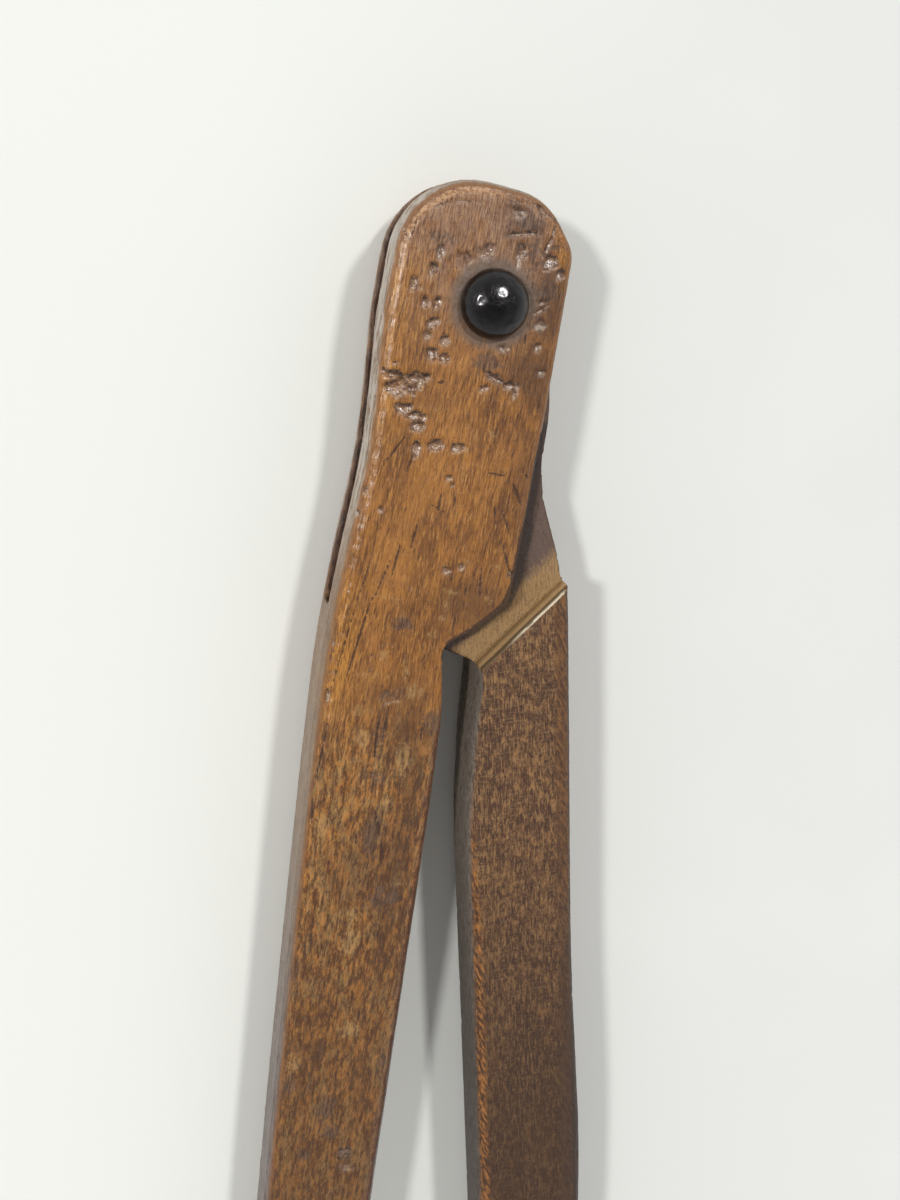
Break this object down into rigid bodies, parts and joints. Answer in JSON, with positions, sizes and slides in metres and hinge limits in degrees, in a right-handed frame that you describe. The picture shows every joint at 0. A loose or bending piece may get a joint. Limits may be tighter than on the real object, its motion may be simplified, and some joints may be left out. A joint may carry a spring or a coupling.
{
  "type": "carpenter compass",
  "caption": "Large wooden carpenter's compass: two bowed legs with a bridle hinge on a domed iron rivet, iron collars and sharp iron points.",
  "frame": {"origin": "hinge axis at the flat tail of the rivet, the end that stands on the bench when the compass lies on its back", "axes": "+Z along the hinge axis, up out of the domed head of the rivet; -Y halfway between the straight inner edges of the two legs, down towards the points; +X to the side of the tongue leg"},
  "size_m": [0.1016, 0.7267, 0.0348],
  "materials": {
    "honey_wood": "worn and polished by handling",
    "brown_wood": "matte, dark, with paler worn edges",
    "black_iron": "blackened and polished by handling",
    "bright_iron": "forged, dark at the root and brighter at the tip"
  },
  "bodies": {
    "fork": {"fork_leg": "honey_wood", "pivot_rivet": "black_iron", "rivet_rove": "black_iron", "fork_ferrule": "black_iron", "fork_point": "bright_iron", "fork_nail_outer": "bright_iron", "fork_nail_inner": "bright_iron"},
    "tongue": {"tongue_leg": "brown_wood", "tongue_ferrule": "black_iron", "tongue_point": "bright_iron", "tongue_nail_outer": "bright_iron", "tongue_nail_inner": "bright_iron"}
  },
  "joints": [
    {"name": "leg_hinge", "type": "hinge", "parent": "fork", "child": "tongue", "pos_m": [0, 0, 0.0157], "axis": [0, 0, 1], "range_deg": [-4, 169]}
  ]
}
